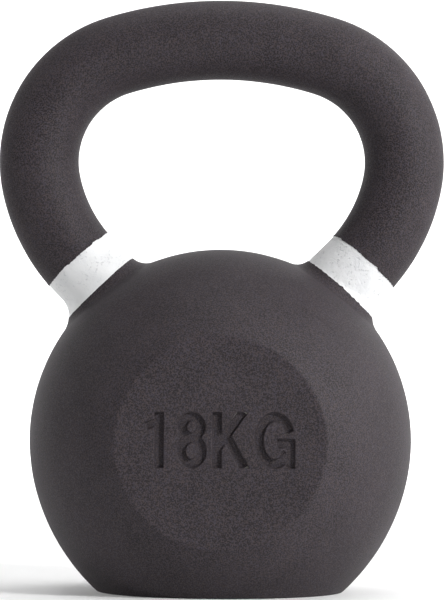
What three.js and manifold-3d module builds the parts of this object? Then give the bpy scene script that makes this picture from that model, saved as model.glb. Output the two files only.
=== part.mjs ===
// Cast-iron kettlebell: a one-piece casting under a black powder coat, with a painted band on each horn.
// Millimetres, +Z up. The origin is the middle of the flat base and the weight mark faces -Y.

import * as THREE from "three";
import { mergeVertices } from "three/addons/utils/BufferGeometryUtils.js";
import { ParametricGeometry } from "three/addons/geometries/ParametricGeometry.js";
import Module from "manifold-3d";

const wasm = await Module();
wasm.setup();

// ---- Driving dimensions (millimetres and degrees) -----------------------

const ballRadius = 82.4;
const ballCentreHeight = 65.2;
const lowerBallRadius = 91; // flatter arc that carries the ball down to its base
const lowerBallStartDrop = 20; // depth below the ball's centre where that arc takes over
const baseEdgeRound = 2;

const flatRadius = 44.2; // round flat on the front and on the back
const flatEdgeRound = 3;

const handleRadius = 17.15;
const windowHeight = 73.6; // clear height between the top of the ball and the grip bar
const barBendRadius = 152.4; // shallow arch of the grip bar
const barBendAngle = 17.25; // from the middle of the bar to a shoulder
const shoulderBendRadius = 48.1;
const shoulderBendAngle = 84.5;
const hornBendRadius = 72.3;
const hornLean = 45.75; // lean of a horn's straight end from upright
const outerFilletRadius = 10.5; // concave fillet between horn and ball, on the outer side of the horn
const innerFilletRadius = 8; // the same on the side of the window
const sideFilletRadius = 7; // the same on the front and on the back of the horn
const rootShare = 0.75; // the bar runs into the ball to within this share of its radius

const bandLean = 41; // lean of a band's axis from upright
const bandLift = 0.85; // lower edge of a band above the ball, along that axis
const bandWidth = 15.4;

const coatThickness = 0.4;
const bandThickness = 0.3;
const layerGap = 0.3; // between the iron and what covers it, and between a coat and a band

const markHeight = 23;
const markStroke = 3.6;
const markDepth = 1.9;
const markLift = 1.4; // middle of the weight mark above the ball's centre
const flagThickness = 2.7; // of the flag of the 1
const flagRise = 0.76; // foot of that flag, as a share of the mark's height
const oneWidth = 7.2;
const eightWidth = 12.2;
const kWidth = 15.2;
const gWidth = 16.7;
const lowerRingHeight = 14; // outside height of the lower ring of the 8
const ringOverlap = 3; // height that its two rings share
const upperRingShare = 0.93; // width of its upper ring, as a share of the lower one's
const armRise = 0.36; // foot of the arm of the K, as a share of the mark's height
const legRise = 0.53; // top of the leg of the K, the same way
const strokeEndInset = 2.34; // ends of its arm and leg, in from the letter's right edge
const strokeEndRise = 0.72; // the same ends, in from the mark's top and foot
const legStart = 0.4; // top of that leg, as a share of the letter's width
const gUpperLip = 28; // angle of the upper open end of the G, in degrees
const gLowerLip = 322;
const gBarDrop = 1.26; // middle of the bar of the G below the mark's middle
const gBarStart = 0.57; // inner end of the bar of the G, as a share of the letter's width
const gapAfterOne = 5.5;
const gapAfterEight = 2.6;
const gapAfterK = 2.1;

// ---- Resolution ---------------------------------------------------------

const ballSides = 40;
const ballArcSteps = 14;
const lowerArcSteps = 5;
const roundSteps = 2;
const tubeSides = 16;
const tubeSteps = 44;
const filletSteps = 3;
const letterSides = 16;

// ---- Finishes -----------------------------------------------------------

const ironFinish = { color: 0x6b6763, roughness: 0.7, metalness: 0.9 };
const coatFinish = { color: 0x3d393b, roughness: 0.75, metalness: 0.1 };
const bandFinish = { color: 0xe6e8ea, roughness: 0.55, metalness: 0 };

// ---- Solids -------------------------------------------------------------

const radians = THREE.MathUtils.degToRad;

/** A closed three.js geometry as a solid that can be joined and cut. */
function toSolid(geometry) {
  const bare = geometry.clone();
  bare.deleteAttribute("normal");
  bare.deleteAttribute("uv");
  const merged = mergeVertices(bare, 1e-4);
  const mesh = new wasm.Mesh({
    numProp: 3,
    vertProperties: new Float32Array(merged.attributes.position.array),
    triVerts: new Uint32Array(merged.index.array),
  });
  return new wasm.Manifold(mesh);
}

/** A solid as a named mesh with its own material. */
function toMesh(name, solid, finish) {
  const { vertProperties, triVerts } = solid.getMesh();
  const geometry = new THREE.BufferGeometry();
  geometry.setAttribute("position", new THREE.BufferAttribute(vertProperties, 3));
  geometry.setIndex(new THREE.BufferAttribute(triVerts, 1));
  geometry.computeVertexNormals();
  const mesh = new THREE.Mesh(geometry, new THREE.MeshStandardMaterial(finish));
  mesh.name = name;
  return mesh;
}

const joined = (solids) => solids.reduce((whole, next) => whole.add(next));

/** Points on an arc, both ends included. Angles are in radians. */
function arcPoints(centreX, centreY, radius, from, to, steps) {
  const points = [];
  for (let step = 0; step <= steps; step += 1) {
    const angle = from + ((to - from) * step) / steps;
    points.push(new THREE.Vector2(centreX + radius * Math.cos(angle), centreY + radius * Math.sin(angle)));
  }
  return points;
}

// ---- Ball ---------------------------------------------------------------

const lowerBallAngle = Math.asin(lowerBallStartDrop / ballRadius);
const lowerBallOffset = lowerBallRadius - ballRadius;
const lowerCentreX = -lowerBallOffset * Math.cos(lowerBallAngle);
const lowerCentreZ = ballCentreHeight + lowerBallOffset * Math.sin(lowerBallAngle);
const baseRoundReach = lowerBallRadius - baseEdgeRound;
const baseRoundX = lowerCentreX + Math.sqrt(baseRoundReach ** 2 - (lowerCentreZ - baseEdgeRound) ** 2);
const baseRoundAngle = Math.atan2(baseEdgeRound - lowerCentreZ, baseRoundX - lowerCentreX);
const flatDistance = Math.sqrt(ballRadius ** 2 - flatRadius ** 2);
const flatRimAngle = Math.asin(flatRadius / ballRadius);
const ballArcStep = (Math.PI / 2 + lowerBallAngle) / ballArcSteps;
const facetSag = ballRadius * (1 - Math.cos(Math.PI / ballSides) * Math.cos(ballArcStep / 2));

/** A barrel along Y whose two round-edged ends are the ball's flats. */
function flatBarrel(inset) {
  const rimX = flatRadius - flatEdgeRound * Math.tan(flatRimAngle / 2);
  const rimY = flatDistance - flatEdgeRound;
  const round = flatEdgeRound - inset;
  // Past its rim the barrel runs out along the ball's own slope, clear of the ball.
  const skirtX = rimX + round * Math.sin(flatRimAngle) + ballRadius * Math.cos(flatRimAngle);
  const skirtY = rimY + round * Math.cos(flatRimAngle) - ballRadius * Math.sin(flatRimAngle);
  const end = [
    new THREE.Vector2(skirtX, skirtY),
    ...arcPoints(rimX, rimY, round, Math.PI / 2 - flatRimAngle, Math.PI / 2, roundSteps),
    new THREE.Vector2(0, flatDistance - inset),
  ];
  const otherEnd = end.map((point) => new THREE.Vector2(point.x, -point.y)).reverse();
  const barrel = new THREE.LatheGeometry([...otherEnd, ...end], ballSides);
  barrel.translate(0, 0, ballCentreHeight);
  return toSolid(barrel);
}

/** The ball with its base and its two flats, made smaller by inset on every side. */
function ballSolid(inset) {
  const upper = ballRadius - inset;
  const lower = lowerBallRadius - inset;
  const edge = baseEdgeRound - inset;
  const profile = [
    new THREE.Vector2(0, inset),
    ...arcPoints(baseRoundX, baseEdgeRound, edge, -Math.PI / 2, baseRoundAngle, roundSteps),
    ...arcPoints(lowerCentreX, lowerCentreZ, lower, baseRoundAngle, -lowerBallAngle, lowerArcSteps).slice(1),
    ...arcPoints(0, ballCentreHeight, upper, -lowerBallAngle, Math.PI / 2, ballArcSteps).slice(1),
  ];
  const ball = new THREE.LatheGeometry(profile, ballSides);
  ball.rotateX(Math.PI / 2);
  return toSolid(ball).intersect(flatBarrel(inset));
}

// ---- Handle -------------------------------------------------------------

const ballCentre = new THREE.Vector3(0, 0, ballCentreHeight);
const barHeight = ballCentreHeight + ballRadius + windowHeight + handleRadius;
const hornBendAngle = 90 + hornLean - barBendAngle - shoulderBendAngle;

/** The bends of one half of the handle, in order from the middle of the bar. */
const bends = [
  { radius: barBendRadius, turn: radians(barBendAngle) },
  { radius: shoulderBendRadius, turn: radians(shoulderBendAngle) },
  { radius: hornBendRadius, turn: radians(hornBendAngle) },
];

/** Place on the right half of the middle line, at a distance along it from the middle of the bar. */
function alongHandle(distance) {
  const place = new THREE.Vector3(0, 0, barHeight);
  let heading = 0;
  let left = distance;
  for (const { radius, turn } of bends) {
    const next = heading + Math.min(left / radius, turn);
    place.x += radius * (Math.sin(next) - Math.sin(heading));
    place.z -= radius * (Math.cos(heading) - Math.cos(next));
    left -= radius * (next - heading);
    heading = next;
  }
  place.x += left * Math.cos(heading);
  place.z -= left * Math.sin(heading);
  return place;
}

const bendsLength = bends.reduce((sum, { radius, turn }) => sum + radius * turn, 0);
const hornStart = alongHandle(bendsLength);
const hornDown = new THREE.Vector3(-Math.sin(radians(hornLean)), 0, -Math.cos(radians(hornLean)));
const hornOut = new THREE.Vector3(-hornDown.z, 0, hornDown.x); // square to the horn, away from the window
const hornPassingDistance = ballCentre.clone().sub(hornStart).dot(hornDown);
const hornDepth = hornPassingDistance - ballRadius * rootShare;
const halfHandleLength = bendsLength + hornDepth;

/** Middle line of the handle, from inside the ball on the left to inside the ball on the right. */
class HandleLine extends THREE.Curve {
  getPoint(t, target = new THREE.Vector3()) {
    const signed = (2 * t - 1) * halfHandleLength;
    target.copy(alongHandle(Math.abs(signed)));
    target.x *= Math.sign(signed);
    return target;
  }
}

/** The handle as a round bar, made thinner by inset all round. */
function handleSolid(inset) {
  const section = new THREE.Shape(arcPoints(0, 0, handleRadius - inset, 0, 2 * Math.PI, tubeSides).slice(1));
  const options = { steps: tubeSteps, extrudePath: new HandleLine(), bevelEnabled: false };
  return toSolid(new THREE.ExtrudeGeometry(section, options));
}

/**
 * The root of one horn with its concave fillet, as if a ball of the fillet's radius had rolled round
 * the horn while touching the kettlebell's ball. Side is -1 on the left and 1 on the right, and the
 * fillet's radius changes smoothly from the outer side of the horn over its front to the inner side.
 * The foot of the fillet is sunk by the depth of the ball's facets, so that no corner stands proud.
 */
function hornRoot(side, inset) {
  const tube = handleRadius - inset;
  const ball = ballRadius - inset - facetSag;
  const filletMiddle = (outerFilletRadius + innerFilletRadius) / 2 + inset;
  const filletSwing = (outerFilletRadius - innerFilletRadius) / 2;
  const filletSideChange = sideFilletRadius + inset - filletMiddle;
  const barPole = hornDepth - ballRadius * (1 - rootShare);
  const rows = filletSteps + 2; // a pole inside the ball, the rows of the fillet, a pole inside the bar
  const start = hornStart.clone().sub(ballCentre);
  const surface = (u, v, target) => {
    const row = Math.round(u * rows);
    const angle = -2 * Math.PI * v * side;
    const fillet = filletMiddle + filletSwing * Math.cos(angle) + filletSideChange * Math.sin(angle) ** 2;
    const out = hornOut.clone().multiplyScalar(Math.cos(angle));
    out.y = Math.sin(angle);
    const beside = start.clone().addScaledVector(out, tube + fillet);
    const along = beside.dot(hornDown);
    const reach = -along - Math.sqrt(along ** 2 - beside.lengthSq() + (ball + fillet) ** 2);
    const rolling = beside.clone().addScaledVector(hornDown, reach);
    if (row === 0) {
      target.copy(start).addScaledVector(hornDown, hornDepth);
    } else if (row === rows) {
      target.copy(start).addScaledVector(hornDown, barPole);
    } else {
      const toBall = rolling.clone().normalize().negate();
      const toTube = out.clone().negate();
      const turn = toBall.angleTo(toTube);
      const share = (row - 1) / filletSteps;
      const direction = toBall.multiplyScalar(Math.sin((1 - share) * turn));
      direction.addScaledVector(toTube, Math.sin(share * turn)).divideScalar(Math.sin(turn));
      target.copy(rolling).addScaledVector(direction, fillet);
    }
    target.add(ballCentre);
    target.x *= side;
  };
  return toSolid(new ParametricGeometry(surface, rows, tubeSides));
}

/** A plain drum round a band's axis, between two distances from the ball's centre. */
function bandDrum(side, from, to) {
  const drumRadius = 2 * handleRadius;
  const drum = new THREE.CylinderGeometry(drumRadius, drumRadius, to - from, tubeSides);
  drum.rotateX(Math.PI / 2);
  drum.translate(0, 0, (from + to) / 2);
  drum.rotateY(radians(side * bandLean));
  drum.translate(0, 0, ballCentreHeight);
  return toSolid(drum);
}

// ---- Weight mark --------------------------------------------------------

/** A straight stroke between two points, as a flat outline. */
function stroke(fromX, fromY, toX, toY, width, grow) {
  const along = new THREE.Vector2(toX - fromX, toY - fromY).normalize();
  const across = new THREE.Vector2(-along.y, along.x).multiplyScalar(width / 2 + grow);
  const start = new THREE.Vector2(fromX, fromY).addScaledVector(along, -grow);
  const end = new THREE.Vector2(toX, toY).addScaledVector(along, grow);
  return new THREE.Shape([
    start.clone().sub(across),
    end.clone().sub(across),
    end.clone().add(across),
    start.clone().add(across),
  ]);
}

/** Points on part of an ellipse, or on a whole one without its first point repeated. */
function ellipsePoints(centreX, centreY, radiusX, radiusY, from, to) {
  const turns = (to - from) / (2 * Math.PI);
  const steps = Math.ceil(turns * letterSides);
  const count = turns < 1 ? steps + 1 : steps;
  return Array.from({ length: count }, (unused, step) => {
    const angle = from + ((to - from) * step) / steps;
    return new THREE.Vector2(centreX + radiusX * Math.cos(angle), centreY + radiusY * Math.sin(angle));
  });
}

/** A closed ring, one stroke wide, whose outer edge is an ellipse. */
function ring(centreX, centreY, radiusX, radiusY, grow) {
  const whole = (change) => {
    return ellipsePoints(centreX, centreY, radiusX + change, radiusY + change, 0, 2 * Math.PI);
  };
  const shape = new THREE.Shape(whole(grow));
  shape.holes.push(new THREE.Path(whole(-markStroke - grow)));
  return shape;
}

/** The digit 1: a stem with a short flag. */
function digitOne(grow) {
  const stemX = oneWidth - markStroke / 2;
  const flagY = markHeight * flagRise;
  return [
    stroke(stemX, 0, stemX, markHeight, markStroke, grow),
    stroke(0, flagY, stemX, flagY + flagThickness, flagThickness, grow),
  ];
}

/** The digit 8: a smaller ring over a larger one, sharing most of a stroke. */
function digitEight(grow) {
  const middle = eightWidth / 2;
  const lowerHalf = lowerRingHeight / 2;
  const upperHalf = (markHeight + ringOverlap - lowerRingHeight) / 2;
  return [
    ring(middle, lowerHalf, middle, lowerHalf, grow),
    ring(middle, markHeight - upperHalf, middle * upperRingShare, upperHalf, grow),
  ];
}

/** The letter K: a stem, an arm that rises from it and a leg that falls from the arm. */
function letterK(grow) {
  const stemX = markStroke / 2;
  const endX = kWidth - strokeEndInset;
  return [
    stroke(stemX, 0, stemX, markHeight, markStroke, grow),
    stroke(stemX, markHeight * armRise, endX, markHeight - strokeEndRise, markStroke, grow),
    stroke(kWidth * legStart, markHeight * legRise, endX, strokeEndRise, markStroke, grow),
  ];
}

/** The letter G: an open ring, a bar and a spur. */
function letterG(grow) {
  const middleX = gWidth / 2;
  const middleY = markHeight / 2;
  const growTurn = grow / (middleX - markStroke);
  const lip = radians(gUpperLip) - growTurn;
  const tail = radians(gLowerLip) + growTurn;
  const openRing = (change) => {
    return ellipsePoints(middleX, middleY, middleX + change, middleY + change, lip, tail);
  };
  const spurX = gWidth - markStroke / 2;
  const barY = middleY - gBarDrop;
  return [
    new THREE.Shape([...openRing(grow), ...openRing(-markStroke - grow).reverse()]),
    stroke(spurX, 0, spurX, barY + markStroke / 2, markStroke, grow),
    stroke(gWidth * gBarStart, barY, spurX, barY, markStroke, grow),
  ];
}

const letters = [
  { draw: digitOne, width: oneWidth, gapAfter: gapAfterOne },
  { draw: digitEight, width: eightWidth, gapAfter: gapAfterEight },
  { draw: letterK, width: kWidth, gapAfter: gapAfterK },
  { draw: letterG, width: gWidth, gapAfter: 0 },
];
const markWidth = letters.reduce((sum, { width, gapAfter }) => sum + width + gapAfter, 0);

/** The cutter that sinks the weight mark into the front flat, made larger by grow on every side. */
function markSolid(grow) {
  const floorY = -flatDistance + markDepth + grow;
  const depth = 2 * markDepth + grow;
  const baseline = ballCentreHeight + markLift - markHeight / 2;
  const strokes = [];
  let left = -markWidth / 2;
  for (const { draw, width, gapAfter } of letters) {
    for (const shape of draw(grow)) {
      const geometry = new THREE.ExtrudeGeometry(shape, { depth, bevelEnabled: false });
      geometry.rotateX(Math.PI / 2);
      geometry.translate(left, floorY, baseline);
      strokes.push(toSolid(geometry));
    }
    left += width + gapAfter;
  }
  return joined(strokes);
}

// ---- Layers -------------------------------------------------------------

const hornSides = { left: -1, right: 1 };
const bothHorns = (make) => joined(Object.values(hornSides).map(make));

const bandBottom = ballRadius + bandLift;
const bandTop = bandBottom + bandWidth;
const bandInset = coatThickness - bandThickness;
const ironInset = coatThickness + layerGap;

const ballAndRoots = (inset) => ballSolid(inset).add(bothHorns((side) => hornRoot(side, inset)));
const handleAndRoots = (inset) => handleSolid(inset).add(bothHorns((side) => hornRoot(side, inset)));
const wholeBody = (inset) => ballAndRoots(inset).add(handleSolid(inset)).subtract(markSolid(inset));

const underCoat = wholeBody(coatThickness);

/** The black skin of the ball, base included: it lines the weight mark and stops below the bands. */
function ballCoat() {
  const pastBall = bothHorns((side) => bandDrum(side, bandBottom - layerGap, bandTop));
  return ballAndRoots(0).subtract(markSolid(0)).subtract(underCoat).subtract(pastBall);
}

/** The black skin of the handle, from one band over the grip bar to the other. */
function handleCoat() {
  const belowHandle = bothHorns((side) => bandDrum(side, ballRadius / 2, bandTop + layerGap));
  return handleSolid(0).subtract(underCoat).subtract(belowHandle);
}

/** The painted band round one horn. */
function band(side) {
  return handleAndRoots(bandInset).intersect(bandDrum(side, bandBottom, bandTop)).subtract(underCoat);
}

// ---- Kettlebell ---------------------------------------------------------

const kettlebell = new THREE.Group();
kettlebell.name = "kettlebell";
kettlebell.add(toMesh("iron_casting", wholeBody(ironInset), ironFinish));
kettlebell.add(toMesh("ball_coat", ballCoat(), coatFinish));
kettlebell.add(toMesh("handle_coat", handleCoat(), coatFinish));
for (const [name, side] of Object.entries(hornSides)) {
  kettlebell.add(toMesh(`${name}_band`, band(side), bandFinish));
}

export default kettlebell;
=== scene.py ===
import math

import bmesh
import bpy
import numpy as np
from bpy.props import FloatProperty, FloatVectorProperty, IntProperty, PointerProperty
from mathutils import Matrix, Vector, noise
from mathutils.geometry import delaunay_2d_cdt


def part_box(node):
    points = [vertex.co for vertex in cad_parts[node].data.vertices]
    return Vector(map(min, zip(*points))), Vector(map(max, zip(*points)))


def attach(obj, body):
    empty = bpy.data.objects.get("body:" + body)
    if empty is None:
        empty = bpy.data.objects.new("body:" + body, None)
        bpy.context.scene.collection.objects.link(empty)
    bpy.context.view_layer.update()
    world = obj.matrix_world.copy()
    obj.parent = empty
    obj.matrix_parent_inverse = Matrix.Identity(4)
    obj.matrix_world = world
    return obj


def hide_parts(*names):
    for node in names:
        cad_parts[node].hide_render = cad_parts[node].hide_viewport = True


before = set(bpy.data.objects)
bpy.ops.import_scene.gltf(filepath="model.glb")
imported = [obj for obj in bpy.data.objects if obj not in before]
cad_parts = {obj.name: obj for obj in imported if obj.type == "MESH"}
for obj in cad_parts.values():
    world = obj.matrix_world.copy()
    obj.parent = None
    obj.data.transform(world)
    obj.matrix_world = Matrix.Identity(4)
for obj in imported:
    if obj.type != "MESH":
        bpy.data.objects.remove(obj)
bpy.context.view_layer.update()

bl_info = {
    "name": "Cast kettlebell",
    "version": (1, 0, 0),
    "blender": (4, 5, 0),
    "location": "3D View > Sidebar > Kettlebell",
    "description": "Powder coat, painted bands and a studio round the kettlebell's frame",
    "category": "Add Mesh",
}

MM = 0.001
BALL_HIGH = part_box("ball_coat")[1]
GRIP_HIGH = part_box("handle_coat")[1]
CROWDING = 2.1  # power by which the rows of a skin crowd towards its rim
TUCK = 0.4 * MM  # how far a coat turns in at its rim


# ---- Sizes and colours ------------------------------------------------------


def length(name, default, description):
    return FloatProperty(
        name=name, default=default, description=description, unit="LENGTH", subtype="DISTANCE", precision=5
    )


def turn(name, degrees, description):
    return FloatProperty(name=name, default=math.radians(degrees), description=description, subtype="ANGLE")


def colour(name, default, description):
    return FloatVectorProperty(
        name=name, default=default, description=description, subtype="COLOR", size=3, min=0, max=1
    )


class KettlebellSizes(bpy.types.PropertyGroup):
    ball_radius: length("Ball radius", BALL_HIGH.x, "Outside radius of the ball")
    ball_height: length("Ball centre height", 0.0652, "Height of the ball's centre over the floor")
    lower_radius: length("Lower ball radius", 0.091, "Radius of the flatter arc under the ball")
    lower_drop: length("Lower arc drop", 0.020, "Depth below the centre where the flatter arc starts")
    base_round: length("Base edge round", 0.002, "Radius of the edge round the base")
    flat_distance: length("Flat distance", BALL_HIGH.y, "Distance of each flat from the middle")
    flat_round: length("Flat edge round", 0.003, "Radius of the edge round each flat")
    grip_radius: length("Grip radius", GRIP_HIGH.y, "Outside radius of the grip bar")
    grip_top: length("Grip top", GRIP_HIGH.z, "Height of the top of the grip bar")
    bar_radius: length("Bar bend radius", 0.1524, "Bend of the grip bar along its middle line")
    bar_turn: turn("Bar bend", 17.25, "Turn from the middle of the bar to a shoulder")
    shoulder_radius: length("Shoulder bend radius", 0.0481, "Bend of a shoulder along its middle line")
    shoulder_turn: turn("Shoulder bend", 84.5, "Turn of a shoulder")
    horn_radius: length("Horn bend radius", 0.0723, "Bend of a horn along its middle line")
    horn_lean: turn("Horn lean", 45.75, "Lean of a horn's straight end from upright")
    fillet_outer: length("Outer fillet", 0.0105, "Radius of the fillet between horn and ball, outer side")
    fillet_inner: length("Inner fillet", 0.0083, "Radius of that fillet on the side of the window")
    fillet_side: length("Side fillet", 0.007, "Radius of that fillet on the front and the back")
    paint_inset: length("Paint inset", 0.00018, "How far the painted bands lie below the coat")
    lip_round: length("Coat lip round", 0.0002, "Radius of the coat's lip beside a band")
    lip_bead: length("Coat lip bead", 0.00010, "How far the grip's coat swells beside a band")
    mark_height: length("Mark height", 0.023, "Height of the figures of the weight mark")
    mark_stroke: length("Mark stroke", 0.0037, "Width of a stroke at half its depth")
    mark_depth: length("Mark depth", 0.0019, "Depth of the weight mark")
    mark_lift: length("Mark lift", 0.0014, "Middle of the weight mark over the ball's centre")
    mark_wall: length("Mark wall", 0.0005, "Width of the steep wall of a stroke")
    unevenness: length("Unevenness", 0.00006, "Height of the slow waves that casting leaves")
    seed: IntProperty(name="Seed", default=7, min=0, description="Seed of everything irregular")


class KettlebellColours(bpy.types.PropertyGroup):
    coat: colour("Powder coat", (0.0150, 0.0118, 0.0135), "Black powder coat")
    coat_warm: colour("Powder coat, warm grains", (0.0640, 0.0490, 0.0500), "Lighter warm grains in the coat")
    coat_cool: colour("Powder coat, cool grains", (0.0530, 0.0465, 0.0600), "Lighter cool grains in the coat")
    paint: colour("Band paint", (0.745, 0.75, 0.755), "White paint of the bands")
    # Also painted shade: at the foot of the left band this darker, bluish tone stands in for shade.
    paint_shade: colour("Band paint, thin", (0.49, 0.51, 0.55), "Paint where it is thin or soiled")
    iron: colour("Iron", (0.20, 0.19, 0.18), "Raw cast iron under the coat")
    floor: colour("Floor", (0.80, 0.80, 0.80), "Studio floor and backdrop")


# ---- Node trees -------------------------------------------------------------


class Wire:
    """A value on its way through a node tree, used like a number."""

    def __init__(self, sheet, socket):
        self.sheet = sheet
        self.socket = socket

    def math(self, operation, *others, swapped=False):
        values = [self, *others]
        if swapped:
            values.reverse()
        return self.sheet.add("ShaderNodeMath", {"operation": operation}, dict(enumerate(values)))[0]

    def __add__(self, other):
        return self.math("ADD", other)

    __radd__ = __add__

    def __sub__(self, other):
        return self.math("SUBTRACT", other)

    def __rsub__(self, other):
        return self.math("SUBTRACT", other, swapped=True)

    def __mul__(self, other):
        return self.math("MULTIPLY", other)

    __rmul__ = __mul__

    def __truediv__(self, other):
        return self.math("DIVIDE", other)

    def __rtruediv__(self, other):
        return self.math("DIVIDE", other, swapped=True)

    def __pow__(self, other):
        return self.math("POWER", other)

    def __neg__(self):
        return self.math("MULTIPLY", -1.0)

    def __abs__(self):
        return self.math("ABSOLUTE")

    def __gt__(self, other):
        return self.math("GREATER_THAN", other)

    def __lt__(self, other):
        return self.math("LESS_THAN", other)

    def sin(self):
        return self.math("SINE")

    def cos(self):
        return self.math("COSINE")

    def sqrt(self):
        return self.math("SQRT")

    def sign(self):
        return self.math("SIGN")

    def exp(self):
        return self.math("EXPONENT")

    def at_least(self, other):
        return self.math("MAXIMUM", other)

    def at_most(self, other):
        return self.math("MINIMUM", other)

    def between(self, low, high):
        """0 below low, 1 above high and smooth from one to the other."""
        settings = {"interpolation_type": "SMOOTHSTEP"}
        inputs = {"Value": self, "From Min": low, "From Max": high}
        return self.sheet.add("ShaderNodeMapRange", settings, inputs)["Result"]


class Made:
    """A new node, whose outputs are taken by name or number."""

    def __init__(self, sheet, node):
        self.sheet = sheet
        self.node = node

    def __getitem__(self, key):
        return Wire(self.sheet, self.node.outputs[key])


class Sheet:
    """A node tree that nodes are added to."""

    def __init__(self, tree):
        self.tree = tree

    def add(self, kind, settings=None, inputs=None):
        node = self.tree.nodes.new(kind)
        for name, value in (settings or {}).items():
            if name == "stops":
                self.set_stops(node, value)
            else:
                setattr(node, name, value)
        for key, value in (inputs or {}).items():
            if isinstance(value, Wire):
                self.tree.links.new(value.socket, node.inputs[key])
            else:
                node.inputs[key].default_value = value
        return Made(self, node)

    @staticmethod
    def set_stops(node, stops):
        """Gives a curve node straight stretches between the stops."""
        curve = node.mapping.curves[0]
        for point, stop in zip(curve.points, (stops[0], stops[-1])):
            point.location = stop
        for stop in stops[1:-1]:
            curve.points.new(*stop)
        for point in curve.points:
            point.handle_type = "VECTOR"
        node.mapping.update()

    def vector(self, x, y, z):
        return self.add("ShaderNodeCombineXYZ", {}, {"X": x, "Y": y, "Z": z})["Vector"]

    def split(self, vector):
        made = self.add("ShaderNodeSeparateXYZ", {}, {"Vector": vector})
        return made["X"], made["Y"], made["Z"]

    def vector_math(self, operation, *values):
        return self.add("ShaderNodeVectorMath", {"operation": operation}, dict(enumerate(values)))["Vector"]

    def noise(self, vector, scale, detail=2.0, roughness=0.5):
        inputs = {"Vector": vector, "Scale": scale, "Detail": detail, "Roughness": roughness}
        return self.add("ShaderNodeTexNoise", {}, inputs)[0]

    def bump(self, strength, distance, height):
        inputs = {"Strength": strength, "Distance": distance, "Height": height}
        return self.add("ShaderNodeBump", {}, inputs)["Normal"]

    def mix_colour(self, share, first, second):
        inputs = {0: share, 6: first, 7: second}  # by number, because the names occur more than once
        return self.add("ShaderNodeMix", {"data_type": "RGBA"}, inputs)[2]


# ---- Finishes ---------------------------------------------------------------
# The scale of a noise is how often it repeats in a metre.


def opaque(tone):
    return (*tone, 1.0)


def new_material(name):
    """An empty material, its sheet and the place on the object in metres."""
    material = bpy.data.materials.new(name)
    material.use_nodes = True
    sheet = Sheet(material.node_tree)
    material.node_tree.nodes.clear()
    position = sheet.add("ShaderNodeTexCoord")["Object"]
    return material, sheet, position


def finish_material(sheet, inputs):
    shader = sheet.add("ShaderNodeBsdfPrincipled", {}, inputs)
    sheet.add("ShaderNodeOutputMaterial", {}, {"Surface": shader["BSDF"]})


def powder_coat():
    """Black powder coat: fine sandy grain of warm and cool specks over a slow mottle."""
    tones = bpy.context.scene.kettlebell_colours
    material, sheet, position = new_material("powder_coat")
    sand = sheet.noise(position, 1850.0, 2.0, 0.6)
    peel = sheet.noise(position, 430.0, 2.0, 0.5)
    mottle = sheet.noise(position, 60.0, 3.0, 0.6)
    hue = sheet.noise(position, 1500.0, 1.0, 0.5).between(0.40, 0.60)
    grains = sand.between(0.38, 0.66) * 0.85 + mottle.between(0.3, 0.7) * 0.15
    specks = sheet.mix_colour(hue, opaque(tones.coat_warm), opaque(tones.coat_cool))
    base = sheet.mix_colour(grains, opaque(tones.coat), specks)
    height = sand * 0.6 + peel * 0.4
    normal = sheet.bump(0.9, 0.22 * MM, height)
    roughness = 0.64 + (sand - 0.5) * 0.2 + (mottle - 0.5) * 0.08
    inputs = {"Base Color": base, "Roughness": roughness, "Normal": normal, "Specular IOR Level": 0.22}
    finish_material(sheet, inputs)
    return material


def band_paint():
    """White brushed-on paint: drawn out along the brush, lumpy, pitted and thin in places, with more pits and
    thin tone on the right band, and a darker, bluish painted shade at the foot of the left band.
    """
    tones = bpy.context.scene.kettlebell_colours
    material, sheet, position = new_material("band_paint")
    x, y, z = sheet.split(position)
    drawn = sheet.vector(x * 0.6 + z * 0.6, y, z * 0.35 - x * 0.35)
    brush = sheet.noise(drawn, 620.0, 3.0, 0.6)
    lumps = sheet.noise(position, 330.0, 2.0, 0.55)
    fine = sheet.noise(position, 1050.0, 2.0, 0.6)
    # Painted shade: low raises the dirt mottle and pits on the right band and at the foot of the left band,
    # where the darker tone is painted shade.
    low = (z - x * 0.3).between(0.1730, 0.1640)  # 1 on the right band and at the foot of the left one
    soil_and_painted_shade = (sheet.noise(position, 95.0, 3.0, 0.6) + low * 0.06).between(0.47, 0.66)
    pits_and_painted_shade = fine.between(0.56, 0.68) * soil_and_painted_shade
    veil = sheet.noise(drawn, 75.0, 2.0, 0.5).between(0.50, 0.72)
    # thin also carries the painted shade at the foot of the left band, through the pits.
    thin = (pits_and_painted_shade * 0.5 + veil * 0.24 + lumps.between(0.58, 0.78) * 0.14).at_most(1.0)
    base = sheet.mix_colour(thin, opaque(tones.paint), opaque(tones.paint_shade))
    height = brush * 0.4 + lumps * 0.35 + fine * 0.3 - pits_and_painted_shade * 0.6
    normal = sheet.bump(0.9, 0.42 * MM, height)
    inputs = {"Base Color": base, "Roughness": 0.45 + thin * 0.25, "Normal": normal}
    finish_material(sheet, inputs)
    return material


def raw_iron():
    """Raw grey iron as it leaves the sand."""
    tones = bpy.context.scene.kettlebell_colours
    material, sheet, position = new_material("iron_as_cast")
    grain = sheet.noise(position, 700.0, 4.0, 0.6)
    patches = sheet.noise(position, 60.0, 3.0, 0.6)
    dark = opaque([part * 0.45 for part in tones.iron])
    base = sheet.mix_colour(patches.between(0.3, 0.7), dark, opaque(tones.iron))
    normal = sheet.bump(0.5, 0.3 * MM, grain)
    inputs = {"Base Color": base, "Roughness": 0.55 + grain * 0.2, "Normal": normal, "Metallic": 0.85}
    finish_material(sheet, inputs)
    return material


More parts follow.
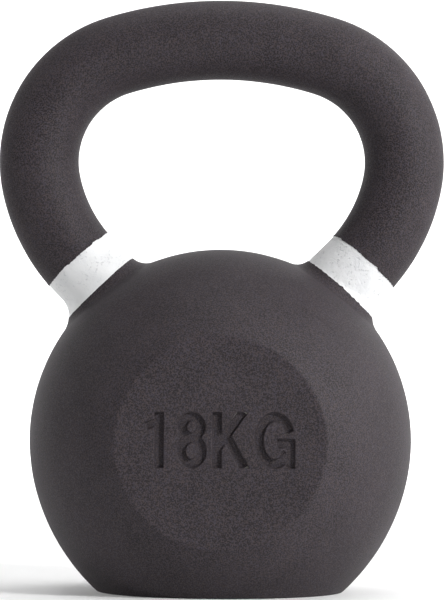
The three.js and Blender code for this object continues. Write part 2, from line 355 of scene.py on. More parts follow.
def plain_floor():
    """Matt pale studio floor with a faint glow, painted grey in front of the object as painted shade, so it
    is greyer and glows less there than behind it.
    """
    tones = bpy.context.scene.kettlebell_colours
    material, sheet, position = new_material("studio_floor")
    behind = sheet.split(position)[1].between(-1.6, -0.1)
    # Painted shade: in front of the object the floor's colour and glow are half of those behind it.
    painted_shade_front = opaque([part * 0.5 for part in tones.floor])
    base = sheet.mix_colour(behind, painted_shade_front, opaque(tones.floor))
    glow = {"Emission Color": base, "Emission Strength": 0.15}
    inputs = {"Base Color": base, "Roughness": 0.9, "Specular IOR Level": 0.1, **glow}
    finish_material(sheet, inputs)
    return material


# ---- Shape of the handle's middle line --------------------------------------


class Grip:
    """The middle line of half the handle, from the middle of the bar down one horn."""

    def __init__(self, sizes):
        horn_turn = math.pi / 2 + sizes.horn_lean - sizes.bar_turn - sizes.shoulder_turn
        self.bends = [
            (sizes.bar_radius, sizes.bar_turn),
            (sizes.shoulder_radius, sizes.shoulder_turn),
            (sizes.horn_radius, horn_turn),
        ]
        self.bar_height = sizes.grip_top - sizes.grip_radius
        x, z, heading = 0.0, self.bar_height, 0.0
        for radius, angle in self.bends:  # x runs outwards and the heading turns down from it
            x += radius * (math.sin(heading + angle) - math.sin(heading))
            z -= radius * (math.cos(heading) - math.cos(heading + angle))
            heading += angle
        self.length = sum(radius * angle for radius, angle in self.bends)
        self.start = np.array([x, 0.0, z])  # where the straight end of the horn begins
        self.down = np.array([math.cos(heading), 0.0, -math.sin(heading)])
        self.out = np.array([math.sin(heading), 0.0, math.cos(heading)])
        to_ball = np.array([0.0, 0.0, sizes.ball_height]) - self.start
        self.ball_along = float(to_ball @ self.down)
        self.ball_aside = float(to_ball @ self.out)


# ---- Ball -------------------------------------------------------------------


class Shell:
    """Vertices and faces gathered for one mesh, with rings of vertices joined by quads."""

    def __init__(self):
        self.points = []
        self.faces = []

    def add(self, points):
        first = len(self.points)
        self.points.extend(np.asarray(points, float).reshape(-1, 3))
        return np.arange(first, len(self.points))

    def rings(self, rows, closed=True):
        indices = [self.add(row) for row in rows]
        self.bridge(indices, closed)
        return indices

    def bridge(self, rows, closed=True):
        for low, high in zip(rows, rows[1:]):
            nexts = range(1, len(low) + 1) if closed else range(1, len(low))
            for place, following in enumerate(nexts):
                after = following % len(low)
                self.faces.append((low[place], low[after], high[after], high[place]))

    def fan(self, ring, centre):
        middle = self.add([centre])[0]
        for place in range(len(ring)):
            self.faces.append((ring[place], ring[(place + 1) % len(ring)], middle))


def ball_hit(sizes, directions):
    """Distance from the ball's centre to its skin along each direction, without roundings or horns."""
    radius, drop = sizes.ball_radius, sizes.lower_drop
    across = np.hypot(directions[:, 0], directions[:, 1])
    up = directions[:, 2]
    tiny, far = 1e-6, 1e9
    angle = math.asin(drop / radius)
    offset = sizes.lower_radius - radius
    centre_x, centre_z = -offset * math.cos(angle), offset * math.sin(angle)
    middle = across * centre_x + up * centre_z
    lower = middle + np.sqrt(middle**2 - offset**2 + sizes.lower_radius**2)
    hit = np.where(up > -drop / radius, radius, lower)
    below = np.where(up < -tiny, sizes.ball_height / np.maximum(-up, tiny), far)
    aside = sizes.flat_distance / np.maximum(np.abs(directions[:, 1]), tiny)
    return np.minimum(np.minimum(hit, below), aside)


def circle(count, radius, height, axis):
    """A ring round the Y or Z axis, height along it."""
    angles = 2 * math.pi * np.arange(count) / count
    first, second, level = radius * np.cos(angles), radius * np.sin(angles), np.full(count, height)
    return np.stack([first, level, second] if axis == "Y" else [first, second, level], 1)


def flat_rows(sizes, side):
    """Rings over the rounded edge of one flat, from the flat outwards, about the ball's centre."""
    radius, far = sizes.ball_radius, sizes.flat_distance
    flat = math.sqrt(radius**2 - far**2)
    slope = math.asin(flat / radius)
    bend = sizes.flat_round
    rim = flat - bend * math.tan(slope / 2)
    profile = [(rim - step * MM, far) for step in (2.0, 1.0, 0.4)]
    for share in np.linspace(0, 1, 9):
        angle = slope * share
        profile.append((rim + bend * math.sin(angle), far - bend + bend * math.cos(angle)))
    for step in (1.4, 2.2, 3.4):
        angle = slope + step * MM / radius
        profile.append((radius * math.sin(angle), radius * math.cos(angle)))
    return [circle(224, across, side * height, "Y") for across, height in profile]


def base_rows(sizes):
    """Rings over the rounded edge of the base, from the base outwards, about the ball's centre."""
    angle = math.asin(sizes.lower_drop / sizes.ball_radius)
    offset = sizes.lower_radius - sizes.ball_radius
    centre_x = -offset * math.cos(angle)
    centre_z = sizes.ball_height + offset * math.sin(angle)
    bend = sizes.base_round
    reach = sizes.lower_radius - bend
    round_x = centre_x + math.sqrt(reach**2 - (centre_z - bend) ** 2)
    end = math.atan2(bend - centre_z, round_x - centre_x)
    profile = [(round_x - step * MM, 0.0) for step in (2.4, 1.2, 0.4)]
    for share in np.linspace(0, 1, 9):
        around = -math.pi / 2 + (end + math.pi / 2) * share
        profile.append((round_x + bend * math.cos(around), bend + bend * math.sin(around)))
    for step in (0.5, 1.3, 2.6):
        around = end + step * MM / sizes.lower_radius
        across = centre_x + sizes.lower_radius * math.cos(around)
        profile.append((across, centre_z + sizes.lower_radius * math.sin(around)))
    return [circle(240, across, height - sizes.ball_height, "Z") for across, height in profile]


def ragged(angles, seed, scale, height):
    """Uneven steps round a horn."""
    places = [Vector((math.cos(angle) * scale, math.sin(angle) * scale, seed * 3.7)) for angle in angles]
    return height * np.array([noise.noise(place) for place in places])


def collar_line(sizes, grip, angle, fillet):
    """A collar's outline at one angle round the horn: distances along the horn and away from it."""
    tube = sizes.grip_radius
    aside = grip.ball_aside * math.cos(angle)
    section = math.sqrt(sizes.ball_radius**2 - (grip.ball_aside * math.sin(angle)) ** 2)
    reach = grip.ball_along - math.sqrt((section + fillet) ** 2 - (tube + fillet - aside) ** 2)
    toward = np.array([reach - grip.ball_along, tube + fillet - aside])
    touch = math.atan2(toward[1], toward[0])
    line = []
    for step in np.linspace(3.0, 0.0, 13):  # over the ball, towards the fillet
        around = touch - step * MM / section
        line.append((grip.ball_along + section * math.cos(around), aside + section * math.sin(around)))
    for around in np.linspace(math.atan2(-toward[1], -toward[0]), -math.pi / 2, 60)[1:]:
        line.append((reach + fillet * math.cos(around), tube + fillet + fillet * math.sin(around)))
    line.append((-4 * MM, tube))
    return np.array(line)


def horn_rows(sizes, grip, side):
    """Rings from the ball over the fillet and up the horn to the coat's lip, about the ball's centre."""
    count, rows, nearby = 256, 34, 0.05 * MM
    angles = 2 * math.pi * np.arange(count) / count
    middle, swing, change = fillets(sizes, side)
    rim_at, rim_tilt = LOWER_RIMS[side]
    rim = rim_at + rim_tilt * np.cos(angles) + rim_tears(side, angles, sizes.seed)
    shares = 1 - (np.arange(rows, -1, -1) / rows) ** CROWDING
    start = grip.start - np.array([0, 0, sizes.ball_height])
    grid = np.zeros((rows + 2, count, 3))
    for place, angle in enumerate(angles):
        fillet = middle + swing * math.cos(angle) + change * math.sin(angle) ** 2
        line = collar_line(sizes, grip, angle, fillet)
        run = np.concatenate([[0], np.cumsum(np.hypot(*np.diff(line, axis=0).T))])
        end = np.interp(-rim[place], -line[:, 0], run)
        runs = end * shares
        here, ahead, behind = (
            np.stack([np.interp(at, run, line[:, 0]), np.interp(at, run, line[:, 1])], 1)
            for at in (runs, runs + nearby, runs - nearby)
        )
        way = unit(ahead - behind)
        normal = np.stack([way[:, 1], -way[:, 0]], 1)
        normal *= np.where(normal[:, 1] < 0, -1, 1)[:, None]
        skin = here + normal * lip_height(sizes, end - runs)[:, None]
        skin = np.vstack([skin, skin[-1] - normal[-1] * TUCK])
        outward = math.cos(angle) * grip.out + math.sin(angle) * np.array([0, 1.0, 0])
        grid[:, place] = start + skin[:, :1] * grip.down + skin[:, 1:] * outward
    centre = start + (rim_at - 1 * MM) * grip.down
    grid[:, :, 0] *= side
    centre[0] *= side
    return list(grid), centre


def fillets(sizes, side):
    """A horn's fillet: middle radius, its change with the cosine of the angle and with the sine squared."""
    outer = sizes.fillet_outer - side * DRESSING
    inner = sizes.fillet_inner - side * DRESSING
    middle = (outer + inner) / 2
    return middle, (outer - inner) / 2, sizes.fillet_side - middle


def lip_height(sizes, left):
    """Height of the collar's skin at a distance from its lip."""
    bend = sizes.lip_round
    inside = np.clip(bend - left, 0, bend)
    return np.sqrt(bend**2 - inside**2) - bend


# Where each coat ends on a horn: distance below the start of the horn's straight end on the
# middle line, and its change with the cosine of the angle from the outer side.
LOWER_RIMS = {-1: (9.62 * MM, -0.82 * MM), 1: (10.17 * MM, -1.52 * MM)}
UPPER_RIMS = {-1: (-5.9 * MM, 0.3 * MM), 1: (-5.38 * MM, -0.28 * MM)}
DRESSING = 0.6 * MM  # how much larger the left horn's fillet was left, and how much smaller the right one's

# Drawn outlines of the lower coat's lip once round each horn from its outer side over the front:
# share of a turn, and how far the coat reaches up the horn in millimetres.
LOWER_LIPS = {
    -1: (
        (0, 0), (0.10, 0.22), (0.20, 0.34), (0.27, 0.28), (0.35, 0.12),
        (0.5, 0), (0.68, 0.25), (0.85, 0.1), (1, 0),
    ),
    1: (
        (0, 0), (0.055, 0.05), (0.10, 0.40), (0.14, 0.72), (0.18, 0.70), (0.22, 0.78),
        (0.25, 1.15), (0.30, 1.30), (0.35, 1.18), (0.385, 0.70), (0.40, 0.72), (0.44, 0.25),
        (0.5, 0), (0.6, 0.5), (0.75, 0.8), (0.9, 0.3), (1, 0),
    ),
}
LOWER_STEPS = {-1: (14.0, 0.10 * MM), 1: (13.0, 0.34 * MM)}  # closeness and height of that lip's fine steps


def rim_tears(side, angles, seed):
    """Unevenness of the lower coat's lip: nearly straight on the left, stepped on the right."""
    shares, reaches = zip(*LOWER_LIPS[side])
    drawn = -MM * np.interp(angles / (2 * math.pi), shares, reaches)
    fine = ragged(angles, seed + side, *LOWER_STEPS[side])
    return drawn + fine + ragged(angles, seed, 4.0, 0.12 * MM)


# ---- Weight mark ------------------------------------------------------------


def box_field(x, z, start, end, width):
    """Signed distance from a straight stroke with square, slightly eased ends."""
    start, end = np.array(start), np.array(end)
    way = end - start
    size = np.linalg.norm(way)
    way = way / size
    eased = 0.35 * MM
    middle = (start + end) / 2
    along = np.abs((x - middle[0]) * way[0] + (z - middle[1]) * way[1]) - size / 2 + eased
    across = np.abs((z - middle[1]) * way[0] - (x - middle[0]) * way[1]) - width / 2 + eased
    outside = np.hypot(np.maximum(along, 0), np.maximum(across, 0))
    return outside + np.minimum(np.maximum(along, across), 0) - eased


def ring_field(x, z, centre, half, width, gap=None):
    """Signed distance from a ring one stroke wide; gap is the open angle on each side of +X."""
    middle = np.array(half) - width / 2
    dx, dz = x - centre[0], z - centre[1]
    level = np.hypot(dx / middle[0], dz / middle[1])
    slope = np.hypot(dx / middle[0] ** 2, dz / middle[1] ** 2)
    field = np.abs((level - 1) * level / np.maximum(slope, 1e-9)) - width / 2
    if gap is None:
        return field
    top, bottom = gap
    angle = np.arctan2(dz / middle[1], dx / middle[0])
    opened = np.minimum(top - angle, angle - bottom) * np.hypot(dx, dz)
    return np.maximum(field, np.where(dx > 0, opened, -1))


def soft_union(fields, blend):
    """The strokes as one field, with rounded corners where they meet."""
    total = fields[0]
    for field in fields[1:]:
        share = np.clip(0.5 + 0.5 * (field - total) / blend, 0, 1)
        total = field * (1 - share) + total * share - blend * share * (1 - share)
    return total


def figure_one(x, z, wide, tall, stroke):
    stem = wide - stroke / 2
    upright = box_field(x, z, (stem, 0), (stem, tall), stroke)
    flag = box_field(x, z, (0, tall * 0.75), (stem, tall * 0.84), stroke * 0.86)
    return [upright, flag]


def figure_eight(x, z, wide, tall, stroke):
    lower = tall * 0.305
    upper = (tall + stroke * 0.85) / 2 - lower
    under = ring_field(x, z, (wide / 2, lower), (wide / 2, lower), stroke)
    over = ring_field(x, z, (wide / 2, tall - upper), (wide / 2 * 0.93, upper), stroke)
    return [under, over]


def letter_k(x, z, wide, tall, stroke):
    upright = box_field(x, z, (stroke / 2, 0), (stroke / 2, tall), stroke)
    arm = box_field(x, z, (stroke / 2, tall * 0.36), (wide * 1.05, tall * 1.23), stroke)
    leg = box_field(x, z, (wide * 0.40, tall * 0.53), (wide * 0.98, -tall * 0.14), stroke)
    return [upright, np.maximum(arm, z - tall), np.maximum(leg, -z)]


def letter_g(x, z, wide, tall, stroke):
    half = (wide / 2, tall / 2)
    bowl = ring_field(x, z, half, half, stroke, (math.radians(20), math.radians(-38)))
    spur = wide - stroke / 2
    bar_z = tall / 2 - stroke * 0.35
    upright = box_field(x, z, (spur, 0), (spur, bar_z + stroke / 2), stroke)
    bar = box_field(x, z, (wide * 0.57, bar_z), (spur, bar_z), stroke)
    return [bowl, upright, bar]


# The weight mark from left to right: each figure, its width and the gap after it.
MARK = (
    (figure_one, 7.2 * MM, 5.5 * MM),
    (figure_eight, 12.2 * MM, 2.6 * MM),
    (letter_k, 15.2 * MM, 2.1 * MM),
    (letter_g, 16.7 * MM, 0.0),
)


def mark_field(sizes, x, z):
    """Signed distance from the strokes of the weight mark, about its middle."""
    tall, corner = sizes.mark_height, 0.5 * MM
    left = -sum(wide + gap for _, wide, gap in MARK) / 2
    fields = []
    for strokes, wide, gap in MARK:
        drawn = strokes(x - left, z + tall / 2, wide, tall, sizes.mark_stroke)
        fields.append(soft_union(drawn, corner))
        left += wide + gap
    return np.minimum.reduce(fields)


def mark_depth(sizes, x, z):
    """Depth of the weight mark at each point of the front flat, with softened walls."""
    field = mark_field(sizes, x, z)
    share = np.clip(0.5 - field / sizes.mark_wall, 0, 1)
    return sizes.mark_depth * share * share * (3 - 2 * share)


# ---- Ball mesh --------------------------------------------------------------


def to_plane(directions):
    """Directions from the ball's centre laid out flat, with the front in the middle."""
    return directions[:, [0, 2]] / (1 - directions[:, 1])[:, None]


def unit(points):
    return points / np.linalg.norm(points, axis=1)[:, None]


def scattered(count):
    """Directions spread evenly over a sphere."""
    steps = np.arange(count) + 0.5
    up = 1 - 2 * steps / count
    angles = math.pi * (1 + math.sqrt(5)) * steps
    across = np.sqrt(1 - up**2)
    return np.stack([across * np.cos(angles), across * np.sin(angles), up], 1)


def inside_polygon(points, polygon):
    """Which flat points lie inside a closed outline."""
    inside = np.zeros(len(points), bool)
    x, y = points[:, 0], points[:, 1]
    for (ax, ay), (bx, by) in zip(polygon, np.roll(polygon, -1, 0)):
        crossing = (ay > y) != (by > y)
        with np.errstate(divide="ignore", invalid="ignore"):
            at = (bx - ax) * (y - ay) / (by - ay) + ax
        inside ^= crossing & (x < at)
    return inside


def mark_panel(sizes, shell):
    """Adds a fine grid with the sunk mark to the front flat and gives the loop round its edge."""
    half_wide, half_tall, fine = 33 * MM, 13.4 * MM, 0.22 * MM
    columns, lines = round(2 * half_wide / fine) + 1, round(2 * half_tall / fine) + 1
    xs = np.linspace(-half_wide, half_wide, columns)
    zs = np.linspace(-half_tall, half_tall, lines)
    grid_x, grid_z = np.meshgrid(xs, zs)
    depth = mark_depth(sizes, grid_x, grid_z)
    patch = np.stack([grid_x, -sizes.flat_distance + depth, grid_z + sizes.mark_lift], -1)
    panel = shell.rings(list(patch), closed=False)
    edge = [*panel[0], *[row[-1] for row in panel[1:]], *panel[-1][-2::-1]]
    return edge + [row[0] for row in panel[-2:0:-1]]


def plain_skin(sizes, shell, loops):
    """Fills the skin between loops: pairs at rings of quads first, then closed parts, and the pole last."""
    spacing, clearance, pole_clearance = 2.3 * MM, 1.1 * MM, math.radians(1.8)
    row_share = 0.866  # distance between rows of evenly spread points, as a share of their spacing
    points = np.array(shell.points)
    flat_loops = [to_plane(unit(points[loop])) for loop in loops]
    plain = scattered(int(4 * math.pi * sizes.ball_radius**2 / (row_share * spacing**2)))
    keep = plain[:, 1] < math.cos(pole_clearance)
    for loop in loops:
        ring = unit(points[loop])
        for start in range(0, len(plain), 4000):
            near = plain[start : start + 4000] @ ring.T
            keep[start : start + 4000] &= near.max(1) < np.cos(clearance / sizes.ball_radius)

    def covered(spots):
        hidden = np.zeros(len(spots), bool)
        for first, second in ((0, 1), (2, 3), (4, 5)):
            hidden |= inside_polygon(spots, flat_loops[first]) ^ inside_polygon(spots, flat_loops[second])
        for loop in flat_loops[6:-1]:
            hidden |= inside_polygon(spots, loop)
        return hidden

    plain = plain[keep & ~covered(to_plane(plain))]
    fresh = shell.add(plain * ball_hit(sizes, plain)[:, None])
    order = [index for loop in loops for index in loop] + list(fresh)
    spots = np.concatenate([*flat_loops, to_plane(plain)])
    edges, first = [], 0
    for loop in loops:
        edges += [(first + i, first + (i + 1) % len(loop)) for i in range(len(loop))]
        first += len(loop)
    found, _, triangles, origins, _, _ = delaunay_2d_cdt([Vector(p) for p in spots], edges, [], 0, 1e-10)
    if len(found) != len(spots):
        raise RuntimeError(f"the ball's skin has {len(found)} corners and not {len(spots)}")
    middles = np.array([np.mean([found[i] for i in corners], 0) for corners in triangles])
    for corners, skip in zip(triangles, covered(middles)):
        if not skip:
            shell.faces.append(tuple(order[origins[i][0]] for i in corners))


def ball_mesh(sizes, grip):
    """The whole skin of the ball: base, flats, sunk mark and the two collars below the bands."""
    shell = Shell()
    loops = []
    for rows in (flat_rows(sizes, -1), flat_rows(sizes, 1), base_rows(sizes)):
        rings = shell.rings(rows)
        loops += [rings[0], rings[-1]]
    for side in (-1, 1):
        rows, centre = horn_rows(sizes, grip, side)
        rings = shell.rings(rows)
        shell.fan(rings[-1], centre)
        loops.append(rings[0])
    loops.append(mark_panel(sizes, shell))
    pole = shell.add(circle(12, 1.2 * MM, sizes.flat_distance, "Y"))
    shell.fan(pole, (0, sizes.flat_distance, 0))
    plain_skin(sizes, shell, [*loops, pole])
    return shell


def uneven(sizes, points):
    """Slow waves of the casting at each point."""
    wave = 14 * MM
    shift = Vector((sizes.seed * 5.1, 0, 0))
    return sizes.unevenness * np.array([noise.noise(Vector(p) / wave + shift) for p in points])


def mesh_object(name, points, faces, material):
    """A smooth object from corners and faces, welded and facing outwards."""
    mesh = bpy.data.meshes.new(name)
    work = bmesh.new()
    corners = [work.verts.new(p) for p in points]
    for face in faces:
        work.faces.new([corners[i] for i in face])
    bmesh.ops.remove_doubles(work, verts=work.verts, dist=1e-7)
    bmesh.ops.recalc_face_normals(work, faces=work.faces)
    for face in work.faces:
        face.smooth = True
    work.to_mesh(mesh)
    work.free()
    mesh.materials.append(material)
    made = bpy.data.objects.new(name, mesh)
    bpy.context.scene.collection.objects.link(made)
    return made


# ---- Sleeves along the handle -----------------------------------------------

BENDS = ("Bar bend", "Shoulder bend", "Horn bend")  # along the middle line, from the middle of the bar
SLEEVE_INPUTS = (
    ("From", 0.0, "Rim at the start, along the middle line from the middle of the bar"),
    ("From tilt", 0.0, "Change of that rim with the cosine of the angle from the outer side"),
    ("To", 0.0, "Rim at the end, along the middle line"),
    ("To tilt", 0.0, "Change of that rim with the cosine of the angle from the outer side"),
    ("Grip radius", 0.017, "Radius of the sleeve"),
    ("Bar height", 0.24, "Height of the middle line over the floor"),
    *((f"{name} radius", 0.07, "Radius of a bend of the middle line") for name in BENDS),
    *((name, 0.5, "Angle of a bend of the middle line") for name in BENDS),
    ("Ball along", 0.09, "Distance from the start of the straight horn to beside the ball's centre"),
    ("Ball aside", 0.01, "Distance of the ball's centre from the horn's middle line"),
    ("Ball radius", 0.08, "Radius of the ball"),
    ("Fillet", 0.009, "Middle radius of the fillet between horn and ball"),
    ("Fillet swing", 0.001, "Change of that radius with the cosine of the angle from the outer side"),
    ("Fillet side change", 0.0, "Change of that radius with the square of the sine of that angle"),
    ("Lip round", 0.0003, "Radius of the lip at both rims"),
    ("Lip bead", 0.0, "Swelling beside both rims"),
    ("Tuck", 0.0004, "Depth that each rim turns in"),
    ("Tear", 0.0, "Depth of the drawn tears at the rims"),
    ("Ragged", 0.0, "Depth of the fine unevenness of the rims"),
    ("Unevenness", 0.0, "Height of the slow waves of the skin"),
    ("Dents", 0.0, "Depth of small dents in the skin"),
    ("Dent size", 0.002, "Spacing of the small dents"),
    ("Seed", 0.0, "Seed of everything irregular"),
)

# Shape of the torn rims above the bands, once round each horn from its outer side over the front.
# Each value is half a share more than how far the coat is torn back, as a share of the tear's depth.
LEFT_TEAR = (
    (0.0, 0.50), (0.094, 0.485), (0.124, 0.54), (0.176, 0.61), (0.224, 0.575), (0.240, 0.59),
    (0.247, 0.69), (0.276, 0.655), (0.294, 0.70), (0.331, 0.665), (0.355, 0.56), (0.368, 0.51),
    (0.379, 0.42), (0.390, 0.44), (0.4075, 0.365), (0.415, 0.50), (0.431, 0.60), (0.47, 0.62),
    (0.50, 0.57), (0.56, 0.58), (0.60, 0.52), (0.655, 0.66), (0.665, 0.56), (0.72, 0.60),
    (0.79, 0.55), (0.80, 0.63), (0.88, 0.54), (0.94, 0.50), (1.0, 0.50),
)
RIGHT_TEAR = (
    (0.0, 0.50), (0.0725, 0.64), (0.109, 0.805), (0.1476, 0.87), (0.1635, 0.93), (0.1665, 0.77),
    (0.1914, 0.905), (0.2276, 0.85), (0.2555, 0.70), (0.2590, 0.85), (0.302, 0.76), (0.339, 0.685),
    (0.374, 0.675), (0.384, 0.50), (0.400, 0.505), (0.423, 0.52), (0.5, 0.50), (0.55, 0.56),
    (0.60, 0.70), (0.607, 0.62), (0.68, 0.74), (0.75, 0.66), (0.81, 0.71), (0.817, 0.60),
    (0.90, 0.57), (1.0, 0.50),
)
TEAR_DEPTH = 6 * MM


def sleeve_tree(rows, sides):
    """Geometry Nodes: a closed skin round the handle's middle line between two rims."""
    tree = bpy.data.node_groups.new("Sleeve along the handle", "GeometryNodeTree")
    sheet = Sheet(tree)
    tree.interface.new_socket("Geometry", in_out="OUTPUT", socket_type="NodeSocketGeometry")
    for name, default, words in SLEEVE_INPUTS:
        socket = tree.interface.new_socket(name, in_out="INPUT", socket_type="NodeSocketFloat")
        socket.default_value = default
        socket.description = words
    tree.interface.new_socket("Material", in_out="INPUT", socket_type="NodeSocketMaterial")
    given = sheet.add("NodeGroupInput")
    size = {name: given[name] for name, _, _ in SLEEVE_INPUTS}

    inputs = {"Size X": 2.0, "Size Y": 1.0, "Vertices X": rows, "Vertices Y": sides + 1}
    grid = sheet.add("GeometryNodeMeshGrid", {}, inputs)["Mesh"]
    row, round_share, _ = sheet.split(sheet.add("GeometryNodeInputPosition")["Position"])
    around = (round_share + 0.5) * (2 * math.pi)
    cosine, sine = around.cos(), around.sin()

    # The first two rows at each rim turn the skin in and close it; the others crowd towards the rim.
    step = 2.0 / (rows - 1)
    near = 1.0 - abs(row)
    turned_in = near < 1.5 * step
    closing = near < 0.5 * step
    inner = ((near - 2 * step).at_least(0.0) / (1 - 2 * step)) ** CROWDING * 0.5
    at_end = row > 0.0
    share = inner + at_end * (1.0 - inner * 2.0)

    def rim(at, tilt, stops, seed_shift):
        inputs = {"Value": round_share + 0.5}
        drawn = sheet.add("ShaderNodeFloatCurve", {"stops": stops}, inputs)["Value"]
        place = sheet.vector(cosine * 14.0, sine * 14.0, size["Seed"] + seed_shift)
        rough = sheet.noise(place, 1.0, 3.0, 0.65)
        tear = (drawn - 0.5) * size["Tear"] + (rough - 0.5) * size["Ragged"]
        return at + tilt * cosine, tear

    start, start_tear = rim(size["From"], size["From tilt"], LEFT_TEAR, 0.0)
    end, end_tear = rim(size["To"], size["To tilt"], RIGHT_TEAR, 40.0)
    start = start + start_tear
    end = end - end_tear
    place = start + (end - start) * share
    left = (place - start).at_most(end - place)

    # Middle line: three bends and a straight end, the same on both sides.
    reach = abs(place)
    side = place.sign()
    x, z, heading, done = 0.0, size["Bar height"], 0.0, 0.0
    forward, downward = 1.0, 0.0  # cosine and sine of the heading
    for name in BENDS:
        radius, full = size[f"{name} radius"], size[name]
        heading = heading + ((reach - done).at_least(0.0) / radius).at_most(full)
        x = x + radius * (heading.sin() - downward)
        z = z - radius * (forward - heading.cos())
        forward, downward = heading.cos(), heading.sin()
        done = done + radius * full
    straight = (reach - done).at_least(0.0)
    x = x + straight * forward
    z = z - straight * downward

    # The horn flares into the ball along a fillet.
    fillet = size["Fillet"] + size["Fillet swing"] * cosine + size["Fillet side change"] * sine * sine
    tube = size["Grip radius"]
    aside = size["Ball aside"] * cosine
    section = (size["Ball radius"] ** 2.0 - (size["Ball aside"] * sine) ** 2.0).sqrt()
    touch = size["Ball along"] - ((section + fillet) ** 2.0 - (tube + fillet - aside) ** 2.0).sqrt()
    past = (straight - touch).at_least(0.0).at_most(fillet * 0.97)  # never quite square to the horn
    flare = fillet - (fillet * fillet - past * past).sqrt()

    lip = size["Lip round"]
    short = (lip - left).at_least(0.0).at_most(lip)
    rounding = (lip * lip - short * short).at_least(0.0).sqrt() - lip
    bead_width = 0.9 * MM
    bead_share = left / bead_width
    bead = size["Lip bead"] * (-(bead_share * bead_share)).exp()
    skin = tube + flare + rounding + bead - turned_in * size["Tuck"]

    def at_radius(radius):
        """The place at a distance from the middle line, at each row and angle."""
        outward = radius * cosine
        return sheet.vector((x + outward * downward) * side, radius * sine, z + outward * forward)

    spot = at_radius(tube)
    shifted = sheet.vector_math("ADD", spot, sheet.vector(size["Seed"], 0.0, 0.0))
    waves = (sheet.noise(shifted, 70.0, 1.0, 0.4) - 0.5) * 2.0 * size["Unevenness"]
    lumps = sheet.noise(shifted, 1.0 / size["Dent size"], 2.0, 0.5)
    dents = lumps.between(0.48, 0.72) * size["Dents"]
    skin = (skin + waves - dents) * (1.0 - closing)

    inputs = {"Geometry": grid, "Position": at_radius(skin)}
    shaped = sheet.add("GeometryNodeSetPosition", {}, inputs)["Geometry"]
    welded = sheet.add("GeometryNodeMergeByDistance", {}, {"Geometry": shaped, "Distance": 1e-6})["Geometry"]
    smooth = sheet.add("GeometryNodeSetShadeSmooth", {}, {"Geometry": welded})["Geometry"]
    real = sheet.add("GeometryNodeRealizeInstances", {}, {"Geometry": smooth})["Geometry"]
    painted = sheet.add("GeometryNodeSetMaterial", {}, {"Geometry": real, "Material": given["Material"]})
    sheet.add("NodeGroupOutput", {}, {"Geometry": painted["Geometry"]})
    return tree


def sleeve(name, values, material, rows, sides):
    """A finished piece from the sleeve's node tree, with its own defaults for what isn't given."""
    tree = sleeve_tree(rows, sides)
    values = {name: default for name, default, _ in SLEEVE_INPUTS} | {"Material": material} | values
    made = bpy.data.objects.new(name, bpy.data.meshes.new(name))
    bpy.context.scene.collection.objects.link(made)
    modifier = made.modifiers.new("Sleeve", "NODES")
    modifier.node_group = tree
    for socket in tree.interface.items_tree:
        if socket.in_out == "INPUT":
            value = values[socket.name]
            modifier[socket.identifier] = value if socket.name == "Material" else float(value)
    evaluated = made.evaluated_get(bpy.context.evaluated_depsgraph_get())
    mesh = bpy.data.meshes.new_from_object(evaluated)
    made.modifiers.remove(modifier)
    made.data = mesh
    mesh.name = name
    work = bmesh.new()
    work.from_mesh(mesh)
    bmesh.ops.recalc_face_normals(work, faces=work.faces)
    work.to_mesh(mesh)
    work.free()
    return made


def sleeve_values(sizes, grip, side=0, inset=0.0):
    """The node tree's inputs that follow from the casting's own shape, inset by a distance."""
    fillet_middle, fillet_swing, fillet_change = fillets(sizes, side)
    values = {
        "Grip radius": sizes.grip_radius - inset,
        "Bar height": grip.bar_height,
        "Ball along": grip.ball_along,
        "Ball aside": grip.ball_aside,
        "Ball radius": sizes.ball_radius - inset,
        "Fillet": fillet_middle + inset,
        "Fillet swing": fillet_swing,
        "Fillet side change": fillet_change,
        "Seed": sizes.seed,
    }
    for name, (radius, angle) in zip(BENDS, grip.bends):
        values |= {f"{name} radius": radius, name: angle}
    return values


# ---- Operators --------------------------------------------------------------


def settle(piece, node):
    """Hands a finished piece to the frame in place of its node."""
    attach(piece, "root")
    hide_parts(node)


class KETTLEBELL_OT_casting(bpy.types.Operator):
    """Gives the iron casting its raw finish"""

    bl_idname = "kettlebell.casting"
    bl_label = "Iron casting"

    def execute(self, context):
        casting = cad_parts["iron_casting"]
        casting.data.materials.clear()
        casting.data.materials.append(raw_iron())
        return {"FINISHED"}


class KETTLEBELL_OT_ball(bpy.types.Operator):
    """Builds the powder-coated skin of the ball with its sunk weight mark"""

    bl_idname = "kettlebell.ball"
    bl_label = "Ball coat"

    def execute(self, context):
        sizes = context.scene.kettlebell_sizes
        shell = ball_mesh(sizes, Grip(sizes))
        points = np.array(shell.points)
        points += unit(points) * uneven(sizes, points)[:, None]
        points[:, 2] = np.maximum(points[:, 2] + sizes.ball_height, 0.0)
        material = bpy.data.materials.get("powder_coat") or powder_coat()
        piece = mesh_object("ball_skin", points, shell.faces, material)
        settle(piece, "ball_coat")
        return {"FINISHED"}


class KETTLEBELL_OT_handle(bpy.types.Operator):
    """Builds the powder-coated skin of the grip bar between the torn rims above the bands"""

    bl_idname = "kettlebell.handle"
    bl_label = "Handle coat"

    def execute(self, context):
        sizes = context.scene.kettlebell_sizes
        grip = Grip(sizes)
        values = sleeve_values(sizes, grip)
        left_at, left_tilt = UPPER_RIMS[-1]
        right_at, right_tilt = UPPER_RIMS[1]
        values |= {
            "From": -(grip.length + left_at),
            "From tilt": -left_tilt,
            "To": grip.length + right_at,
            "To tilt": right_tilt,
            "Lip round": sizes.lip_round,
            "Lip bead": sizes.lip_bead,
            "Tuck": TUCK,
            "Tear": TEAR_DEPTH,
            "Ragged": 0.9 * MM,
            "Unevenness": sizes.unevenness,
        }
        material = bpy.data.materials.get("powder_coat") or powder_coat()
        piece = sleeve("handle_skin", values, material, 201, 360)
        settle(piece, "handle_coat")
        return {"FINISHED"}


